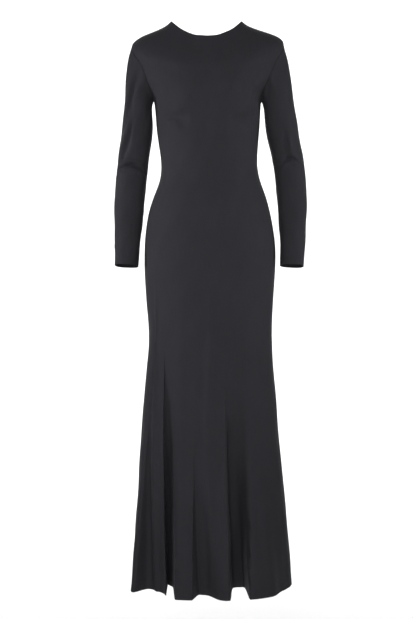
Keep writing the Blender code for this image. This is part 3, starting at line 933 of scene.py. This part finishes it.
class Finish:
    """A new Principled material, and the one way in which its nodes are added.

    The plain colour and roughness stand for it where its nodes aren't read.
    """

    def __init__(self, name, colour, roughness):
        self.material = bpy.data.materials.new(name)
        self.material.use_nodes = True
        self.tree = self.material.node_tree
        self.shader = self.tree.nodes["Principled BSDF"]
        self.material.diffuse_color = (*colour, 1)
        self.shader.inputs["Base Color"].default_value = (*colour, 1)
        self.shader.inputs["Roughness"].default_value = roughness

    def node(self, kind, settings=None, **sockets):
        """A node of this type: its settings are made first, then its sockets get values or links."""
        node = self.tree.nodes.new(kind)
        for name, value in (settings or {}).items():
            setattr(node, name, value)
        for name, value in sockets.items():
            self.join(value, node.inputs[name.replace("_", " ")])
        return node

    def join(self, value, socket):
        if isinstance(value, Value):
            self.tree.links.new(value.socket, socket)
        elif isinstance(value, bpy.types.NodeSocket):
            self.tree.links.new(value, socket)
        else:
            socket.default_value = value

    def value(self, node, output="Fac"):
        return Value(self.tree, node.outputs[output])

    def noise(self, place, scale, detail, roughness=0.5):
        settings = {"Vector": place, "Scale": scale, "Detail": detail, "Roughness": roughness}
        return self.value(self.node("ShaderNodeTexNoise", **settings))

    def set(self, **sockets):
        for name, value in sockets.items():
            self.join(value, self.shader.inputs[name.replace("_", " ")])


def jersey_material():
    """Black dress jersey: fine wales and courses, a faint heather, a dull face and a soft sheen."""
    if "black_jersey" in bpy.data.materials:
        return bpy.data.materials["black_jersey"]
    finish = Finish("black_jersey", JERSEY, 0.72)
    across = finish.value(finish.node("ShaderNodeAttribute", {"attribute_name": "across"}))
    up = finish.value(finish.node("ShaderNodeAttribute", {"attribute_name": "up"}))
    place = finish.node("ShaderNodeTexCoord").outputs["Object"]
    wales = (across * WALES).sine()
    courses = (up * COURSES + wales * 0.9).sine()
    knit = wales * 0.6 + courses * 0.4
    fuzz = finish.noise(place, 900.0, 2.0, 0.6)
    stretched = finish.node("ShaderNodeCombineXYZ", X=across * STREAKS_ACROSS, Y=up * STREAKS_UP)
    streaks = finish.noise(stretched.outputs[0], 1.0, 3.0)
    cloud = finish.noise(place, 9.0, 4.0, 0.55)
    speck = finish.noise(place, 210.0, 3.0, 0.7)
    shade = (streaks - 0.5) * 0.55 + (cloud - 0.5) * 0.45 + (speck - 0.5) * 0.55 + 0.5
    dark = tuple(JERSEY_DARKEST * part for part in JERSEY)
    light = tuple(JERSEY_LIGHTEST * part for part in JERSEY)
    mix = finish.node("ShaderNodeMix", {"data_type": "RGBA", "clamp_factor": True})
    finish.join(shade, mix.inputs[MIX_FACTOR])
    finish.join((*dark, 1), mix.inputs[MIX_FIRST])
    finish.join((*light, 1), mix.inputs[MIX_SECOND])
    height = knit * KNIT_HEIGHT + fuzz * FUZZ_HEIGHT
    bump = finish.node("ShaderNodeBump", Strength=0.55, Distance=1.0, Height=height)
    finish.set(
        Base_Color=mix.outputs[MIX_RESULT],
        Roughness=0.80 + (fuzz - 0.5) * 0.16,
        Normal=bump.outputs[0],
        Specular_IOR_Level=0.05,
        Sheen_Weight=0.03,
        Sheen_Roughness=0.34,
        Sheen_Tint=(0.86, 0.88, 1.0, 1),
    )
    return finish.material


def thread_material():
    """Black sewing thread with a slight gloss."""
    if "black_thread" in bpy.data.materials:
        return bpy.data.materials["black_thread"]
    finish = Finish("black_thread", THREAD, 0.5)
    twist = finish.noise(finish.node("ShaderNodeTexCoord").outputs["Object"], 1400.0, 1.0)
    bump = finish.node("ShaderNodeBump", Strength=0.4, Distance=1.0, Height=twist * THREAD_TWIST_HEIGHT)
    finish.set(Normal=bump.outputs[0], Roughness=0.55 + twist * 0.15, Specular_IOR_Level=0.15)
    return finish.material


# The studio


def studio():
    """A pale floor that sweeps up behind into a wall, the soft lights, and a little light from all round."""
    profile = [(FLOOR_FRONT, 0.0), (FLOOR_BACK, 0.0)]
    for turn in np.linspace(0, math.pi / 2, SWEEP_ROWS):
        profile.append((FLOOR_BACK + SWEEP_RADIUS * math.sin(turn), SWEEP_RADIUS * (1 - math.cos(turn))))
    profile.append((FLOOR_BACK + SWEEP_RADIUS, WALL_TOP))
    mesh = bpy.data.meshes.new("studio_sweep")
    sides = (-SWEEP_HALF_WIDTH, SWEEP_HALF_WIDTH)
    points = [(x, y, FLOOR_LEVEL + z) for y, z in profile for x in sides]
    faces = [(2 * i, 2 * i + 1, 2 * i + 3, 2 * i + 2) for i in range(len(profile) - 1)]
    mesh.from_pydata(points, [], faces)
    mesh.shade_smooth()
    finish = Finish("studio_white", FLOOR_WHITE, 0.9)
    grain = finish.noise(finish.node("ShaderNodeTexCoord").outputs["Object"], 30.0, 2.0)
    finish.set(Roughness=0.88 + grain * 0.04, Specular_IOR_Level=0.1)
    mesh.materials.append(finish.material)
    sweep = new_object("studio_sweep", mesh)
    for row in LIGHTS:
        light(row)
    world = bpy.data.worlds.new("studio_air")
    world.use_nodes = True
    world.node_tree.nodes["Background"].inputs["Color"].default_value = (1, 1, 1, 1)
    world.node_tree.nodes["Background"].inputs["Strength"].default_value = AIR_LIGHT
    bpy.context.scene.world = world
    bpy.context.scene.view_settings.view_transform = "Standard"


def light(row):
    """A rectangular soft light at its place, turned to its target."""
    lamp = bpy.data.lights.new(row.name, "AREA")
    lamp.shape = "RECTANGLE"
    lamp.size = row.width
    lamp.size_y = row.height
    lamp.energy = row.power
    lamp.spread = math.radians(row.spread)
    obj = new_object(row.name, lamp)
    obj.location = row.place
    way = Vector(row.target) - Vector(row.place)
    obj.rotation_euler = way.to_track_quat("-Z", "Y").to_euler()


def camera():
    """A level camera in front of the dress, at the middle of the frame's height."""
    lens = bpy.data.cameras.new("camera")
    lens.sensor_width = SENSOR
    lens.lens = SENSOR * CAMERA_BACK / FRAME_HEIGHT
    obj = new_object("camera", lens)
    obj.location = (0, -CAMERA_BACK, CAMERA_LEVEL)
    obj.rotation_euler = (math.pi / 2, 0, 0)
    bpy.context.scene.camera = obj


# The dress


def main():
    camera()
    front, front_grid = panel("dress_front", "front", RIGHT_SIDE, ARMHOLE_FRONT)
    back, back_grid = panel("dress_back", "back", LEFT_SIDE, ARMHOLE_BACK)
    right, right_grid = sleeve("dress_sleeve_right", "sleeve_right", -1, RIGHT_SLEEVE, RIGHT_SLEEVE_CREASES)
    left, left_grid = sleeve("dress_sleeve_left", "sleeve_left", 1, LEFT_SLEEVE, LEFT_SLEEVE_CREASES)
    panels = (front_grid, back_grid)
    sleeves = (right_grid, left_grid)
    hem_lines = [row_line(grid, False, HEM_TURN + row) for grid in panels for row in HEM_STITCHES]
    hem_thread = stitches("hem_stitches", hem_lines)
    cuff_lines = [row_line(grid, True, CUFF_TURN + row) for grid in sleeves for row in CUFF_STITCHES]
    cuff_thread = stitches("cuff_stitches", cuff_lines)
    neck_thread = stitches("neck_stitches", [row_line(grid, False, NECK_TURN, True) for grid in panels])
    side_allowance("side_allowance_left", LEFT_SIDE)
    side_allowance("side_allowance_right", RIGHT_SIDE)
    studio()


main()
